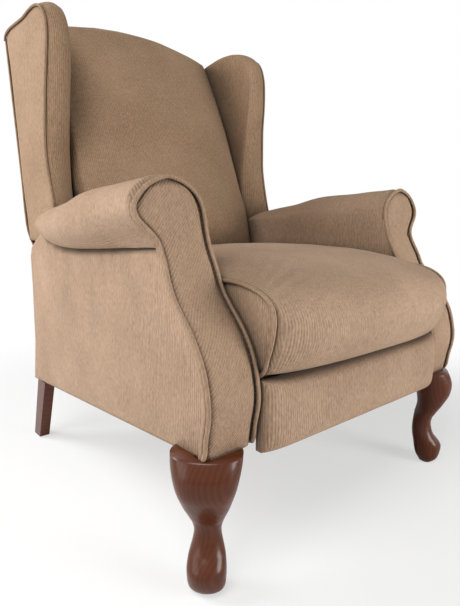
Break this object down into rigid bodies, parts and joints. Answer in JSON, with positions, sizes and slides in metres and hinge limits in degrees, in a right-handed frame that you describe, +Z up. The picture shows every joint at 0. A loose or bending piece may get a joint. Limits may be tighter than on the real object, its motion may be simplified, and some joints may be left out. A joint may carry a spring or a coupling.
{
  "type": "recliner armchair",
  "caption": "Wingback push-back recliner with scroll arms and cabriole legs; the reclining back drives the seat forward and lifts a folding leg rest.",
  "frame": {"origin": "middle of the floor rectangle under the whole chair, at floor level", "axes": "+Y points to the back of the chair, +X to the sitter's left, +Z up"},
  "size_m": [0.8082, 0.9441, 1.1182],
  "materials": {
    "upholstery": "short-pile velvet-like upholstery cloth with a fine rib, warm taupe",
    "frame_wood": "planed hardwood and plywood, unfinished",
    "leg_wood": "turned and carved legs, dark reddish-brown lacquer",
    "steel": "pressed and zinc-plated steel plate",
    "dark_steel": "blackened steel pins, tube and spring wire",
    "nylon": "moulded nylon glide",
    "decking": "needled insulator felt over the seat springs"
  },
  "bodies": {
    "base": {"left_outer_side_panel": "upholstery", "right_outer_side_panel": "upholstery", "left_inner_arm_panel": "upholstery", "right_inner_arm_panel": "upholstery", "left_arm_roll": "upholstery", "right_arm_roll": "upholstery", "left_arm_front": "upholstery", "right_arm_front": "upholstery", "arm_boards": "frame_wood", "front_posts": "frame_wood", "rear_posts": "frame_wood", "bottom_side_rails": "frame_wood", "mechanism_rails": "frame_wood", "pivot_blocks": "frame_wood", "middle_cross_rail": "frame_wood", "rear_cross_rail": "frame_wood", "corner_blocks": "frame_wood", "rear_lower_panel": "upholstery", "left_front_leg": "leg_wood", "right_front_leg": "leg_wood", "left_rear_leg": "leg_wood", "right_rear_leg": "leg_wood", "leg_bolts": "steel", "floor_glides": "nylon", "base_plates": "steel", "back_pivot_pins": "dark_steel", "tension_washers": "steel", "tension_wing_nuts": "steel"},
    "back": {"back_posts": "frame_wood", "back_top_board": "frame_wood", "back_bottom_rail": "frame_wood", "back_springs": "dark_steel", "back_cushion": "upholstery", "left_wing_pad": "upholstery", "right_wing_pad": "upholstery", "left_outer_wing": "upholstery", "right_outer_wing": "upholstery", "wing_boards": "frame_wood", "wing_cleats": "frame_wood", "outside_back_panel": "upholstery", "panel_cleats": "frame_wood", "back_brackets": "steel", "seat_pivot_pins": "dark_steel"},
    "seat": {"seat_side_plates": "steel", "seat_cross_rails": "frame_wood", "seat_side_rails": "frame_wood", "seat_springs": "dark_steel", "spring_clips": "steel", "seat_deck": "decking", "seat_cushion": "upholstery", "seat_pins": "dark_steel"},
    "rear_links": {"rear_links": "steel", "drive_tube": "dark_steel"},
    "front_links": {"front_links": "steel"},
    "carrier": {"carrier_links": "steel"},
    "rods": {"control_rods": "steel"},
    "footrest": {"footrest_brackets": "steel", "footrest_board": "frame_wood", "footrest_pad": "upholstery"}
  },
  "joints": [
    {"name": "back_recline", "type": "hinge", "parent": "base", "child": "back", "pos_m": [0, 0.3165, 0.49], "axis": [-1, 0, 0], "range_deg": [0, 28]},
    {"name": "seat_pivot", "type": "hinge", "parent": "back", "child": "seat", "pos_m": [0, 0.2965, 0.325], "axis": [-1, 0, 0], "range_deg": [-25.6, 0.1]},
    {"name": "rear_link_pivot", "type": "hinge", "parent": "seat", "child": "rear_links", "pos_m": [0, -0.1935, 0.292], "axis": [-1, 0, 0], "range_deg": [-0.1, 92.2]},
    {"name": "front_link_pivot", "type": "hinge", "parent": "seat", "child": "front_links", "pos_m": [0, -0.3215, 0.315], "axis": [-1, 0, 0], "range_deg": [-0.1, 92.2]},
    {"name": "carrier_pivot", "type": "hinge", "parent": "front_links", "child": "carrier", "pos_m": [0, -0.21, 0.20733], "axis": [-1, 0, 0], "range_deg": [-92.2, 0.1]},
    {"name": "control_rod_pivot", "type": "hinge", "parent": "front_links", "child": "rods", "pos_m": [0, -0.22139, 0.24983], "axis": [-1, 0, 0], "range_deg": [-92.2, 0.1]},
    {"name": "footrest_pivot", "type": "hinge", "parent": "carrier", "child": "footrest", "pos_m": [0, -0.3615, 0.27], "axis": [-1, 0, 0], "range_deg": [-0.1, 92.2]}
  ],
  "couplings": [
    {"joint": "seat_pivot", "follows": "back_recline", "ratio": -0.91071},
    {"joint": "rear_link_pivot", "follows": "back_recline", "ratio": 3.2857},
    {"joint": "front_link_pivot", "follows": "back_recline", "ratio": 3.2857},
    {"joint": "carrier_pivot", "follows": "back_recline", "ratio": -3.2857},
    {"joint": "control_rod_pivot", "follows": "back_recline", "ratio": -3.2857},
    {"joint": "footrest_pivot", "follows": "back_recline", "ratio": 3.2857}
  ]
}
